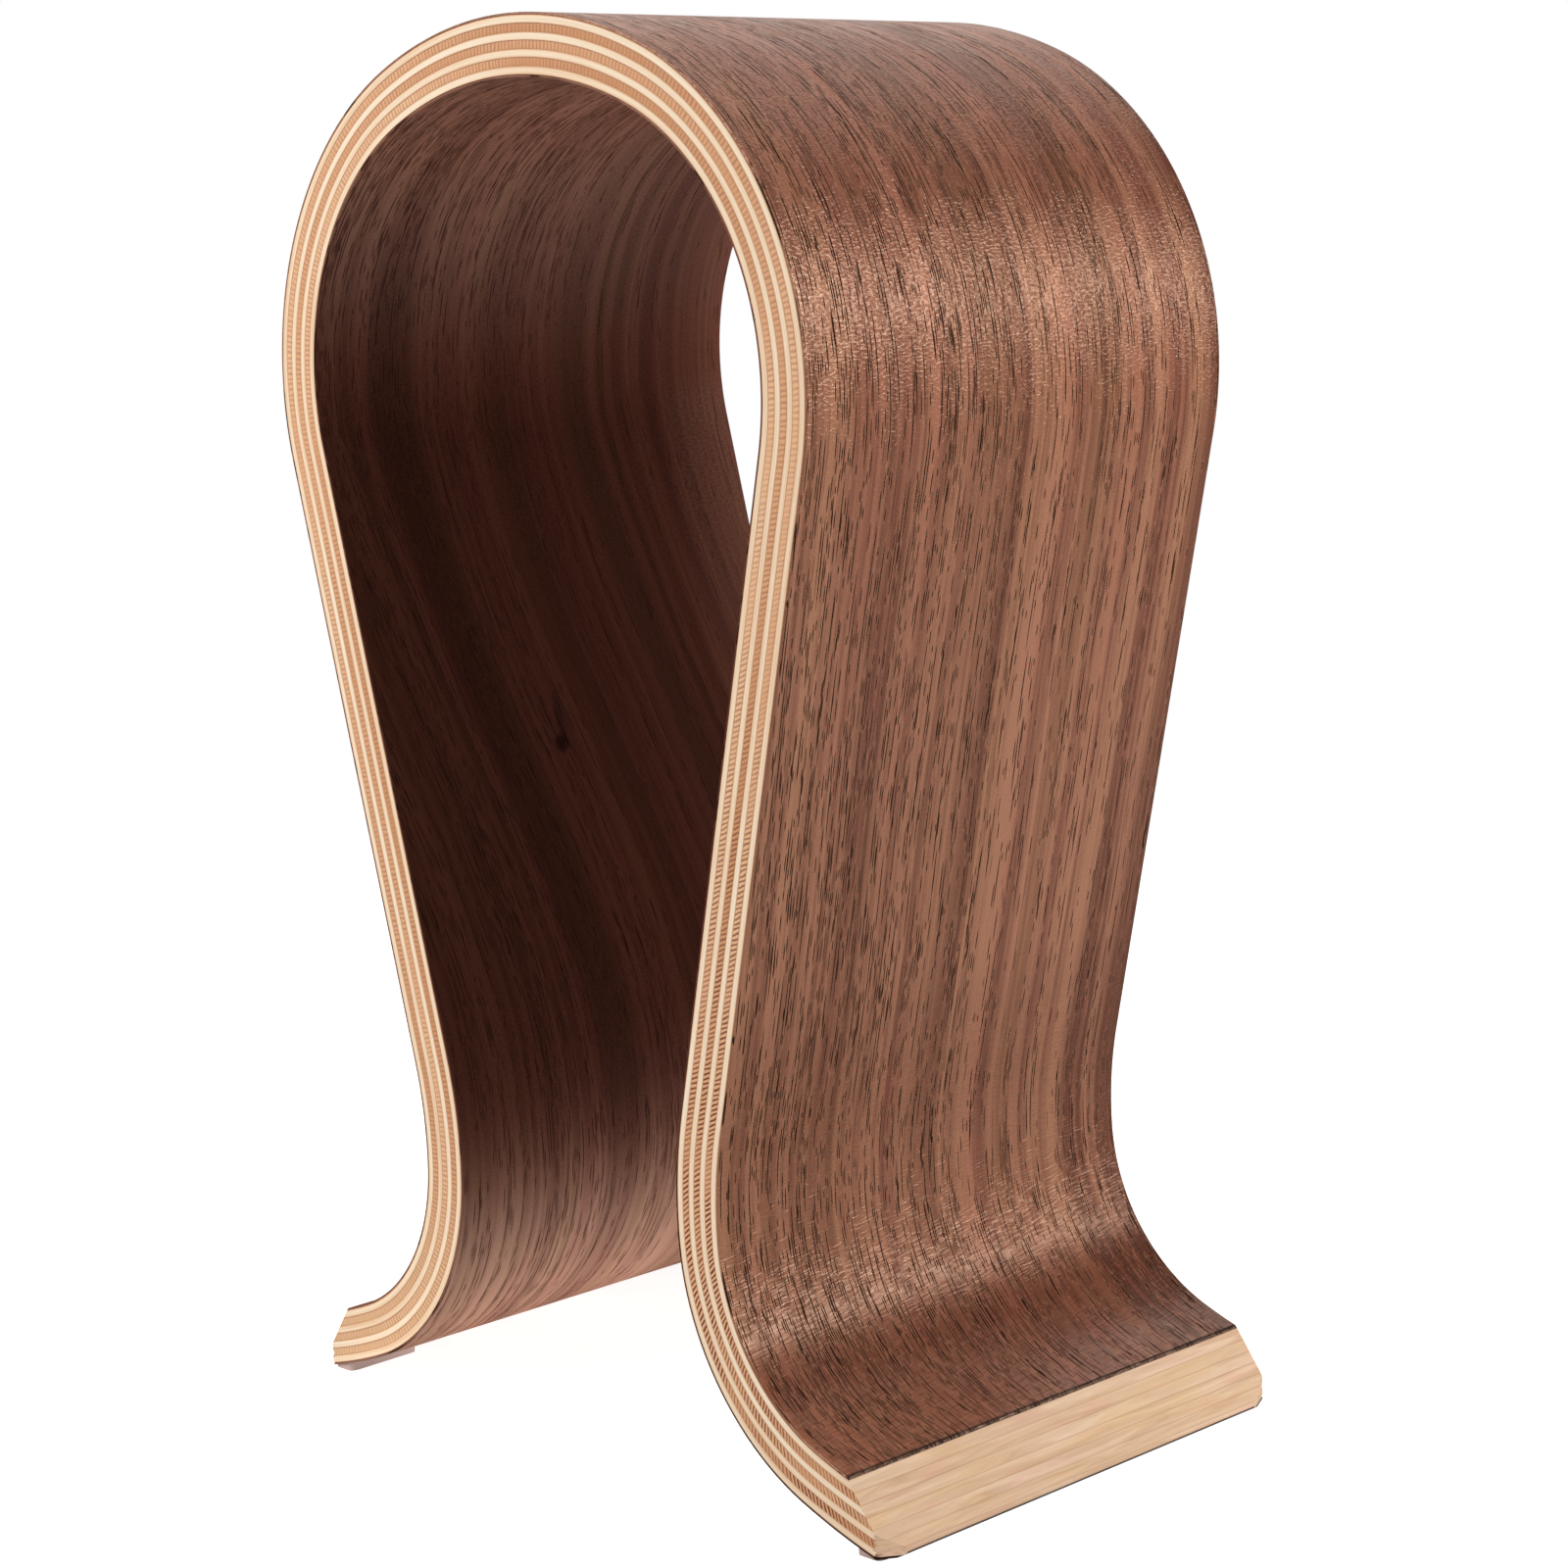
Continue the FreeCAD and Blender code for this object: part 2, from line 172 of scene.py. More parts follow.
def toe_end():
    """Upper corner of the end cut and the centre of the rounding below it, as (x, z) pairs."""
    toe_x = RUNS[-1][1] + TOE_RADIUS * math.sin(TOE_SLOPE)
    down = np.array([math.cos(END_CUT_SLOPE), -math.sin(END_CUT_SLOPE)])
    inward = np.array([-math.sin(END_CUT_SLOPE), -math.cos(END_CUT_SLOPE)])
    centre = np.array([toe_x, TOE_CENTRE_HEIGHT])
    across = TOE_CORNER_REACH - toe_x
    upper = np.array([TOE_CORNER_REACH, TOE_CENTRE_HEIGHT
                      - math.sqrt((TOE_RADIUS - HALF_STRIP) ** 2 - across ** 2)])
    start = upper + inward * TOE_ROUNDING - centre
    reach = TOE_RADIUS + HALF_STRIP - TOE_ROUNDING
    along = float(start @ down)
    return upper, centre + start + down * (-along + math.sqrt(along ** 2 + reach ** 2 - start @ start))


def inside_toe(x, z, upper, rounding):
    """Whether points of the blank are on the wood's side of the end cut and its rounding."""
    out = (x - upper[0]) * math.sin(END_CUT_SLOPE) + (z - upper[1]) * math.cos(END_CUT_SLOPE)
    past_centre = (x - rounding[0]) * math.cos(END_CUT_SLOPE) - (z - rounding[1]) * math.sin(END_CUT_SLOPE)
    around = np.hypot(x - rounding[0], z - rounding[1])
    return (out <= 0) & ((past_centre < 0) | (around <= TOE_ROUNDING))


def end_stations(offsets):
    """The station where each offset line of the strip meets the toe's end, by halving."""
    upper, rounding = toe_end()
    low = np.full(len(offsets), RUNS[-1][0])
    high = np.full(len(offsets), BLANK_HALF_LENGTH)
    for _ in range(HALVINGS):
        middle = (low + high) / 2
        x, z = on_strip(middle, offsets)
        inside = inside_toe(x, z, upper, rounding)
        low = np.where(inside, middle, low)
        high = np.where(inside, high, middle)
    return low


# ---------------------------------------------------------------- layers of the strip

ROW_STEP = 2.2 * MM
TOE_ROWS = 26
TOE_ROWS_START = 14 * MM
TOE_ROWS_CROWDING = 1.6
COLUMN_COUNT = 26
OUTER_COLUMN_INSET = 1.2 * MM
SHARPEST_SMOOTH = math.radians(50)


def edge_columns(ease):
    """Depths of a layer's columns, closer together at its eased front and rear edges."""
    reach = HALF_DEPTH - OUTER_COLUMN_INSET
    inner = np.linspace(-reach, reach, COLUMN_COUNT)
    return np.concatenate([[-HALF_DEPTH, -HALF_DEPTH + ease], inner, [HALF_DEPTH - ease, HALF_DEPTH]])


def layer_stations(offsets):
    """Stations of every row, one column for each offset: shared rows, then rows that end on the cut."""
    ends = end_stations(offsets)
    shared_end = BLANK_HALF_LENGTH - TOE_TURN * TOE_RADIUS - TOE_ROWS_START
    count = int(round(shared_end / ROW_STEP))
    shared = np.repeat(np.linspace(0, shared_end, count + 1)[:, None], len(offsets), axis=1)
    steps = np.linspace(0, 1, TOE_ROWS + 1)[1:, None]
    steps = 1 - (1 - steps) ** TOE_ROWS_CROWDING
    toe = shared_end + (ends[None, :] - shared_end) * steps
    half = np.concatenate([shared, toe])
    return np.concatenate([-half[:0:-1], half])


def depth_limit(x):
    """Half depth of the strip at this reach: the toe's low corners are eased."""
    past = np.clip(np.abs(x) - (TIP_REACH - CORNER_EASE_REACH), 0, None)
    return HALF_DEPTH - past * CORNER_EASE_LENGTH / CORNER_EASE_REACH


def lattice_faces(rows, columns, levels, index):
    """Quads of the six sides of a block of points; index gives a point's number."""
    faces = []

    def side(count_a, count_b, number, flip):
        for a in range(count_a - 1):
            for b in range(count_b - 1):
                quad = [number(a, b), number(a + 1, b), number(a + 1, b + 1), number(a, b + 1)]
                faces.append(quad[::-1] if flip else quad)

    side(rows, columns, lambda a, b: index[a, b, levels - 1], False)
    side(rows, columns, lambda a, b: index[a, b, 0], True)
    side(rows, levels, lambda a, b: index[a, 0, b], False)
    side(rows, levels, lambda a, b: index[a, columns - 1, b], True)
    side(columns, levels, lambda a, b: index[0, a, b], True)
    side(columns, levels, lambda a, b: index[rows - 1, a, b], False)
    return faces


def make_mesh(name, points, faces, grain):
    """A mesh object with each point's place in the wood stored as the attribute 'grain'."""
    mesh = bpy.data.meshes.new(name)
    mesh.from_pydata([tuple(p) for p in points], [], faces)
    stored = mesh.attributes.new("grain", "FLOAT_VECTOR", "POINT")
    stored.data.foreach_set("vector", np.asarray(grain, np.float32).ravel())
    mesh.validate()
    mesh.shade_smooth()
    mesh.set_sharp_from_angle(angle=SHARPEST_SMOOTH)
    piece = bpy.data.objects.new(name, mesh)
    bpy.context.scene.collection.objects.link(piece)
    return piece


def make_layer(name, inner, outer, ease, level_count):
    """One glued layer between two offsets, with its front and rear edges eased."""
    levels = np.linspace(inner, outer, level_count)
    levels = np.unique(np.concatenate([levels, [inner + ease, outer - ease]]))
    columns = edge_columns(ease)
    stations = layer_stations(levels)
    rows = len(stations)
    station, depth, offset = np.broadcast_arrays(
        stations[:, None, :], columns[None, :, None], levels[None, None, :])
    depth, offset = depth.copy(), offset.copy()
    pull = ease * (1 - math.sqrt(0.5))
    for column, towards in ((0, 1), (-1, -1)):
        for level, back in ((0, 1), (-1, -1)):
            depth[:, column, level] += towards * pull
            offset[:, column, level] += back * pull
    x, z = on_strip(station, offset)
    y = depth / HALF_DEPTH * depth_limit(x)
    points = np.stack([x, y, z], axis=-1).reshape(-1, 3)
    grain = np.stack([station, y, offset], axis=-1).reshape(-1, 3)
    index = np.arange(rows * len(columns) * len(levels)).reshape(rows, len(columns), len(levels))
    faces = lattice_faces(rows, len(columns), len(levels), index)
    used = np.unique(np.array(faces))
    renumber = np.full(index.size, -1)
    renumber[used] = np.arange(len(used))
    faces = renumber[np.array(faces)].tolist()
    return make_mesh(name, points[used], faces, grain[used])


# ---------------------------------------------------------------- shader helpers

class Paint:
    """A material's node tree, with short calls that add and join its nodes."""

    def __init__(self, name, place="grain"):
        self.material = bpy.data.materials.new(name)
        self.material.use_nodes = True
        self.nodes = self.material.node_tree.nodes
        self.links = self.material.node_tree.links
        self.shader = self.nodes["Principled BSDF"]
        if place == "grain":
            self.place = self.node("ShaderNodeAttribute", attribute_name="grain").outputs["Vector"]
        else:
            self.place = self.node("ShaderNodeNewGeometry").outputs["Position"]

    def node(self, kind, **settings):
        """Adds a node with these settings."""
        made = self.nodes.new(kind)
        for key, value in settings.items():
            setattr(made, key, value)
        return made

    def join(self, value, socket):
        """Feeds a socket from another node, or sets it to a plain value."""
        if isinstance(value, bpy.types.NodeSocket):
            self.links.new(value, socket)
        else:
            socket.default_value = value

    def maths(self, operation, first, second=None, third=None, clamp=False):
        """One step of arithmetic on values or sockets."""
        made = self.node("ShaderNodeMath", operation=operation, use_clamp=clamp)
        for value, socket in zip((first, second, third), made.inputs):
            if value is not None:
                self.join(value, socket)
        return made.outputs[0]

    def scaled(self, per_metre, place=None):
        """The place in the wood, scaled along each axis."""
        made = self.node("ShaderNodeVectorMath", operation="MULTIPLY")
        self.join(self.place if place is None else place, made.inputs[0])
        made.inputs[1].default_value = per_metre
        return made.outputs[0]

    def noise(self, per_metre, detail=2.0, roughness=0.5, distortion=0.0, place=None):
        """Noise from 0 to 1, with its coarsest waves this many to the metre along each axis."""
        made = self.node("ShaderNodeTexNoise", noise_dimensions="3D")
        self.join(self.scaled(per_metre, place), made.inputs["Vector"])
        made.inputs["Scale"].default_value = 1.0
        made.inputs["Detail"].default_value = detail
        made.inputs["Roughness"].default_value = roughness
        made.inputs["Distortion"].default_value = distortion
        return made.outputs["Fac"]

    def step(self, value, low, high, to_low=0.0, to_high=1.0):
        """Goes smoothly from one value to another as the input goes from low to high."""
        made = self.node("ShaderNodeMapRange", interpolation_type="SMOOTHSTEP")
        self.join(value, made.inputs["Value"])
        for key, number in (("From Min", low), ("From Max", high), ("To Min", to_low), ("To Max", to_high)):
            made.inputs[key].default_value = number
        return made.outputs["Result"]

    def mix(self, factor, first, second, blend="MIX"):
        """The first colour, blended with the second."""
        made = self.node("ShaderNodeMix", data_type="RGBA", blend_type=blend)
        self.join(factor, made.inputs["Factor"])
        self.join(first, made.inputs["A"])
        self.join(second, made.inputs["B"])
        return made.outputs["Result"]

    def ramp(self, value, stops):
        """Colours by value, between (position, colour) stops."""
        made = self.node("ShaderNodeValToRGB")
        ramp = made.color_ramp
        while len(ramp.elements) < len(stops):
            ramp.elements.new(0.5)
        for element, (position, colour) in zip(ramp.elements, stops):
            element.position = position
            element.color = colour
        self.join(value, made.inputs["Fac"])
        return made.outputs["Color"]

    def split(self, place=None):
        """The three parts of a vector."""
        made = self.node("ShaderNodeSeparateXYZ")
        self.join(self.place if place is None else place, made.inputs[0])
        return made.outputs

    def combine(self, station, depth, offset):
        """A vector from its three parts."""
        made = self.node("ShaderNodeCombineXYZ")
        for value, socket in zip((station, depth, offset), made.inputs):
            self.join(value, socket)
        return made.outputs[0]

    def bump(self, height, distance, strength=1.0):
        """A normal bent by a relief of this depth."""
        made = self.node("ShaderNodeBump")
        made.inputs["Strength"].default_value = strength
        made.inputs["Distance"].default_value = distance
        self.join(height, made.inputs["Height"])
        return made.outputs[0]

    def finish(self, colour, roughness, normal, specular):
        """Joins the looks to the shader."""
        self.join(colour, self.shader.inputs["Base Color"])
        self.join(roughness, self.shader.inputs["Roughness"])
        if normal is not None:
            self.join(normal, self.shader.inputs["Normal"])
        self.join(specular, self.shader.inputs["Specular IOR Level"])
        return self.material


# ---------------------------------------------------------------- walnut

# Noise frequencies per metre: along the grain, across it and through the sheet.
SLOW_SWING = (5.0, 7.0, 0)
QUICK_SWING = (16.0, 40.0, 0)
FIBRES = (60.0, 3000.0, 500.0)
WIDE_STREAKS = (1.6, 62.0, 0)
STREAKS = (2.0, 250.0, 0)
FINE_STREAKS = (4.0, 900.0, 0)
HUE_STREAKS = (3.0, 120.0, 0)
PORE_CROWDS = (1.8, 190.0, 0)
PORE_FILES = (2.5, 800.0, 0)
FINE_FIGURE = (1900.0, 1000.0, 0)
WIDE_FIGURE = (1800.0, 260.0, 0)
FIGURE_PATCHES = (90.0, 130.0, 0)
GLOSS_DRIFT = (60.0, 400.0, 0)

# Each palette runs from dark through middle to light, at these tones.
TONE_STOPS = (0.24, 0.50, 0.78)
OUTER_PALETTE = (srgb(108, 63, 47), srgb(142, 91, 69), srgb(166, 112, 85))
INNER_PALETTE = (srgb(82, 46, 36), srgb(94, 54, 42), srgb(105, 63, 50))
# The third palette is painted light: the lighter inner face near the crown and the left foot.
PAINTED_LIGHT_PALETTE = (srgb(130, 88, 72), srgb(145, 100, 82), srgb(154, 109, 90))
OUTER_PORE = srgb(24, 10, 7)
INNER_PORE = srgb(34, 16, 13)
KNOT_COLOUR = srgb(26, 14, 15)
SMOOTH_TAN = srgb(166, 113, 84)
DARK_UMBER = srgb(66, 40, 29)

# Tints that multiply the wood's colour: some are its own, and some are painted light and shade, as marked.
REDDER = (0.99, 0.86, 0.92, 1)
GREENER = (0.92, 0.96, 0.84, 1)
# Painted shade beside the crown and at the ankle.
CROWN_SIDE_PAINTED_SHADE = (0.80, 0.73, 0.74, 1)
ANKLE_PAINTED_SHADE = (0.86, 0.84, 0.85, 1)
# Painted light and reflection on the inner face at the left foot.
PAINTED_LIGHT_FOOT_TINT = (0.86, 0.98, 1.0, 1)
# Partly the outer face's redder wood, partly painted shade, towards the right toe.
OUTER_TOE_TINT_AND_SHADE = (0.56, 0.40, 0.36, 1)
INNER_TOE_TINT = (0.30, 0.25, 0.25, 1)

# Each band is (depth, half width, softness, strength, colour).
OUTER_BANDS = [
    (31.5 * MM, 1.0 * MM, 1.6 * MM, 0.55, SMOOTH_TAN),
    (-9.0 * MM, 1.4 * MM, 2.5 * MM, 0.30, SMOOTH_TAN),
    (-2.5 * MM, 1.2 * MM, 3.0 * MM, 0.25, OUTER_PALETTE[0]),
]
INNER_BANDS = [
    (-38.0 * MM, 2.5 * MM, 5.0 * MM, 0.50, DARK_UMBER),
    (13.0 * MM, 2.5 * MM, 4.0 * MM, 0.55, DARK_UMBER),
    (21.0 * MM, 0.4 * MM, 1.0 * MM, 0.60, DARK_UMBER),
]

# Each size of pore is (cell length, cell width, shortest half length, longest half length, half width,
# share of the cells that hold one).
LONG_PORES = (19 * MM, 0.70 * MM, 2.4 * MM, 9.0 * MM, 0.13 * MM, 0.36)
SHORT_PORES = (6.3 * MM, 0.55 * MM, 0.7 * MM, 2.9 * MM, 0.12 * MM, 0.33)

# The knot and its tail: each one's middle as (station, depth) and its half sizes the same way.
KNOT_MIDDLE = (-191.5 * MM, -10.4 * MM)
KNOT_SIZE = (2.0 * MM, 1.9 * MM)
KNOT_TAIL_MIDDLE = (-186 * MM, -9.8 * MM)
KNOT_TAIL_SIZE = (7 * MM, 1.6 * MM)

SHEEN_TINT = (1.0, 0.68, 0.50, 1.0)
SHEEN_IOR = 1.9
BRUSHED = 0.9

# Stations about which painted shade darkens the outer face (beside the crown, at the ankle) or its sheen
# changes (the foot bend), and the (reach, core) of each change.
CROWN_SIDE, CROWN_SIDE_REACH = 60 * MM, (35 * MM, 15 * MM)
ANKLE, ANKLE_REACH = 248 * MM, (25 * MM, 8 * MM)
FOOT_BEND, FOOT_BEND_REACH = 268 * MM, (34 * MM, 20 * MM)

# Stretches of station or depth over which the wood, or its painted light and shade, changes, as (from, to).
# The last is from the toe's end.
DRIFT_STRETCH = (-255 * MM, -115 * MM)
FRONT_PORE_DEPTHS = (45 * MM, -45 * MM)
TOE_PORE_STRETCH = (270 * MM, 300 * MM)
# Where the outer face turns darker and redder towards the right toe: partly redder wood, partly painted
# shade.
RIGHT_TOE_STRETCH = (285 * MM, 312 * MM)
# Where painted light lightens the inner face near the left foot and near the crown.
PAINTED_LIGHT_FOOT_STRETCH = (-262 * MM, -295 * MM)
PAINTED_LIGHT_CROWN_STRETCH = (125 * MM, 45 * MM)
PAINTED_LIGHT_CROWN_DEPTHS = (-20 * MM, 40 * MM)
FOOT_FIGURE_STRETCH = (200 * MM, 250 * MM)
CROWN_BEND_STRETCH = (165 * MM, 120 * MM)
END_LINE_STRETCH = (-0.35 * MM, -0.15 * MM)

# The most that a column of pores is shifted, in cells, the factor that draws a pore's side from its size,
# how soft the limit on the share of cells is, and the oval fields where a vessel and the painted glint
# round it begin and are full.
COLUMN_SHIFT = 9.0
SIDE_DRAW = 17.0
SHARE_SOFTNESS = 0.04
VESSEL_SIDES = (1.3, 0.6)
GLINT_RIM_SIDES = (4.0, 2.0)


class Walnut(Paint):
    """Walnut face veneer with its grain along the strip.

    The drift moves the grain towards the rear down the left leg, and the sway is how far it waves.
    """

    def __init__(self, name, pore_colour, drift, sway, seed):
        super().__init__(name)
        self.pore_colour = pore_colour
        self.station, self.depth, self.offset = self.split()
        self.reach = self.maths("ABSOLUTE", self.station)
        self.along = self.maths("ADD", self.station, seed)
        plain = self.combine(self.along, self.depth, self.offset)
        swing = self.centred(self.noise(SLOW_SWING, 1.0, place=plain), sway)
        wander = self.centred(self.noise(QUICK_SWING, 1.0, place=plain), sway * 0.35)
        swayed = self.maths("ADD", self.maths("ADD", self.depth, swing), wander)
        self.swayed = self.maths("SUBTRACT", swayed, self.step(self.station, *DRIFT_STRETCH, drift, 0.0))
        self.place = self.combine(self.along, self.swayed, self.offset)
        self.fibres = self.noise(FIBRES, 2.0, 0.6)
        self.tone = self.make_tone()
        self.files = self.centred(self.noise(PORE_FILES, 1.0), 1.35)
        self.vessels, self.glint_rims = 0.0, 0.0

    def centred(self, value, gain):
        """A noise as a swing about zero."""
        return self.maths("MULTIPLY", self.maths("SUBTRACT", value, 0.5), gain)

    def make_tone(self):
        """Light and dark along the grain, about 0.5."""
        tone = self.centred(self.noise(WIDE_STREAKS, 1.0), 1.15)
        for per_metre, gain in ((STREAKS, 1.45), (FINE_STREAKS, 0.9)):
            tone = self.maths("ADD", tone, self.centred(self.noise(per_metre, 2.0, 0.6), gain))
        tone = self.maths("ADD", tone, self.centred(self.fibres, 0.35))
        return self.maths("ADD", tone, 0.5)

    def shaded(self, palette):
        """The palette's colours by tone."""
        return self.ramp(self.tone, list(zip(TONE_STOPS, palette)))

    def banded(self, colour, bands, fade=1.0):
        """Streaks along the grain with soft sides, each at one depth."""
        for middle, half_width, soft, strength, band_colour in bands:
            away = self.maths("ABSOLUTE", self.maths("SUBTRACT", self.swayed, middle))
            streak = self.step(away, half_width + soft, half_width, 0.0, strength)
            colour = self.mix(self.maths("MULTIPLY", streak, fade), colour, band_colour)
        return colour

    def hued(self, colour):
        """Redder and greener stretches along the grain."""
        hue = self.noise(HUE_STREAKS, 2.0)
        colour = self.mix(self.step(hue, 0.50, 0.66, 0.0, 0.65), colour, REDDER, "MULTIPLY")
        return self.mix(self.step(hue, 0.48, 0.34, 0.0, 0.65), colour, GREENER, "MULTIPLY")

    def painted_shade_near(self, colour, station, reach_and_core, strength, tint):
        """Painted shade: darkens the wood about one station, fully within the core and not past the reach.
        """
        away = self.maths("ABSOLUTE", self.maths("SUBTRACT", self.station, station))
        return self.mix(self.step(away, *reach_and_core, 0.0, strength), colour, tint, "MULTIPLY")

    def dashes(self, crowd, length, width, shortest, longest, half_width, share):
        """Open vessels as dashes along the grain, at most one to a cell, with lighter rings round them
        painted as glints.

        The cells stand in columns along the grain, each column shifted by its own amount. The crowd
        swings the share of cells that hold a dash.
        """
        along, across, _ = self.split(self.scaled((1 / length, 1 / width, 0)))
        column = self.maths("FLOOR", across)
        shift = self.node("ShaderNodeTexWhiteNoise", noise_dimensions="1D")
        self.join(column, shift.inputs["W"])
        along = self.maths("MULTIPLY_ADD", shift.outputs["Value"], COLUMN_SHIFT, along)
        draw = self.node("ShaderNodeTexWhiteNoise", noise_dimensions="3D")
        self.join(self.combine(column, self.maths("FLOOR", along), length), draw.inputs["Vector"])
        chance, size, lead = self.split(draw.outputs["Color"])
        half_length = self.maths("MULTIPLY_ADD", size, (longest - shortest) / length, shortest / length)
        slack = self.maths("MULTIPLY_ADD", half_length, -2.0, 1.0)
        along_middle = self.maths("MULTIPLY_ADD", self.maths("SUBTRACT", lead, 0.5), slack, 0.5)
        side = self.maths("FRACT", self.maths("MULTIPLY", size, SIDE_DRAW))
        across_slack = 1 - 4 * half_width / width
        across_middle = self.maths("MULTIPLY_ADD", side, across_slack, 0.5 - across_slack / 2)
        from_middle = self.maths("SUBTRACT", self.maths("FRACT", along), along_middle)
        along = self.maths("POWER", self.maths("DIVIDE", from_middle, half_length), 2.0)
        from_middle = self.maths("SUBTRACT", self.maths("FRACT", across), across_middle)
        across = self.maths("POWER", self.maths("MULTIPLY", from_middle, width / half_width), 2.0)
        field = self.maths("ADD", along, across)
        margin = self.maths("SUBTRACT", crowd, chance)
        held = self.step(margin, -share - SHARE_SOFTNESS, -share + SHARE_SOFTNESS)
        vessel = self.maths("MULTIPLY", self.step(field, *VESSEL_SIDES), held)
        # Painted glint: a lighter ring round each pore.
        rim = self.maths("MULTIPLY", self.step(field, *GLINT_RIM_SIDES), held)
        return vessel, rim

    def open_pores(self, crowding, extra=0.0):
        """Lays the pores: more of them towards the front, near the right toe and in files."""
        crowd = self.centred(self.noise(PORE_CROWDS, 2.0), 1.0)
        crowd = self.maths("ADD", crowd, self.step(self.depth, *FRONT_PORE_DEPTHS, -0.16, 0.10))
        near_toe = self.step(self.station, *TOE_PORE_STRETCH, crowding, crowding + 0.18)
        crowd = self.maths("ADD", crowd, near_toe)
        crowd = self.maths("ADD", crowd, extra)
        crowd = self.maths("ADD", crowd, self.files)
        long_vessels, long_glint_rims = self.dashes(crowd, *LONG_PORES)
        short_vessels, short_glint_rims = self.dashes(crowd, *SHORT_PORES)
        self.vessels = self.maths("MAXIMUM", long_vessels, short_vessels)
        self.glint_rims = self.maths("MAXIMUM", long_glint_rims, short_glint_rims)

    def lined(self, colour, line_colour, toe_tint):
        """Darker lines where the pores stand in files, and a tint towards the right toe, which on the outer
        face is partly redder wood and partly painted shade.
        """
        colour = self.mix(self.step(self.files, 0.05, 0.22, 0.0, 0.25), colour, line_colour)
        # The toe tint: on the outer face partly redder wood, partly painted shade.
        return self.mix(self.step(self.station, *RIGHT_TOE_STRETCH), colour, toe_tint, "MULTIPLY")

    def pored(self, colour, glint_colour, strength):
        """Dark pores, with lighter rings round them painted as glints."""
        # The painted glints round the pores.
        colour = self.mix(self.maths("MULTIPLY", self.glint_rims, 0.40), colour, glint_colour)
        return self.mix(self.maths("MULTIPLY", self.vessels, strength), colour, self.pore_colour)

    def dark_ended(self, colour, offset):
        """A thin dark line where the veneer's face, at this offset, meets the toe's end."""
        end = float(end_stations([offset])[0])
        past_end = self.maths("SUBTRACT", self.reach, end)
        return self.mix(self.step(past_end, *END_LINE_STRETCH, 0.0, 0.8), colour, self.pore_colour)

    def cross_figure(self):
        """Fine ripples across the grain, wider at the right foot."""
        fine = self.noise(FINE_FIGURE, 1.0, 0.6)
        tilted = self.maths("MULTIPLY_ADD", self.swayed, 0.12, self.along)
        wide = self.noise(WIDE_FIGURE, 1.0, 0.6, place=self.combine(tilted, self.swayed, self.offset))
        figure = self.node("ShaderNodeMix", data_type="FLOAT")
        self.join(self.step(self.station, *FOOT_FIGURE_STRETCH), figure.inputs[0])
        self.join(fine, figure.inputs[2])
        self.join(wide, figure.inputs[3])
        return figure.outputs[0]

    def polished(self, colour, relief, specular):
        """Relief and sheen, strongest in the tight bends, and dull in the pores."""
        figure = self.cross_figure()
        from_foot_bend = self.maths("ABSOLUTE", self.maths("SUBTRACT", self.reach, FOOT_BEND))
        in_bends = self.maths("MAXIMUM", self.step(self.reach, *CROWN_BEND_STRETCH, 0.3, 1.0),
                              self.step(from_foot_bend, *FOOT_BEND_REACH, 0.15, 1.0))
        patches = self.step(self.noise(FIGURE_PATCHES, 1.0), 0.35, 0.65, 0.7, 1.4)
        patches = self.maths("MULTIPLY", patches, in_bends)
        height = self.maths("MULTIPLY_ADD", self.fibres, 0.3, self.maths("MULTIPLY", figure, patches))
        height = self.maths("MULTIPLY_ADD", self.vessels, -0.7, height)
        ripple = self.maths("MULTIPLY_ADD", self.centred(figure, 1.0), in_bends, 0.5)
        sheen = self.step(ripple, 0.38, 0.62, 0.35 * specular, 1.7 * specular)
        sheen = self.maths("MULTIPLY", sheen, self.maths("MULTIPLY_ADD", self.vessels, -0.9, 1.0))
        roughness = self.step(self.noise(GLOSS_DRIFT, 2.0), 0.25, 0.75, 0.36, 0.46)
        roughness = self.maths("MULTIPLY_ADD", self.vessels, 0.3, roughness, clamp=True)
        self.shader.inputs["Anisotropic"].default_value = BRUSHED
        self.shader.inputs["Specular Tint"].default_value = SHEEN_TINT
        self.shader.inputs["IOR"].default_value = SHEEN_IOR
        self.join(self.combine(0.0, 1.0, 0.0), self.shader.inputs["Tangent"])
        return self.finish(colour, roughness, self.bump(height, relief), sheen)


def oval(wood, middle, half_sizes):
    """0 at the middle of an oval spot and 1 on its rim, rising outward."""
    along = wood.maths("DIVIDE", wood.maths("SUBTRACT", wood.station, middle[0]), half_sizes[0])
    across = wood.maths("DIVIDE", wood.maths("SUBTRACT", wood.depth, middle[1]), half_sizes[1])
    return wood.maths("ADD", wood.maths("POWER", along, 2.0), wood.maths("POWER", across, 2.0))


def with_knot(wood, colour):
    """A pin knot half-way up the left leg, with a soft dark tail towards the crown."""
    tail = oval(wood, KNOT_TAIL_MIDDLE, KNOT_TAIL_SIZE)
    colour = wood.mix(wood.step(tail, 1.0, 0.0, 0.0, 0.5), colour, KNOT_COLOUR)
    knot = oval(wood, KNOT_MIDDLE, KNOT_SIZE)
    return wood.mix(wood.step(knot, 1.6, 0.2, 0.0, 0.75), colour, KNOT_COLOUR)


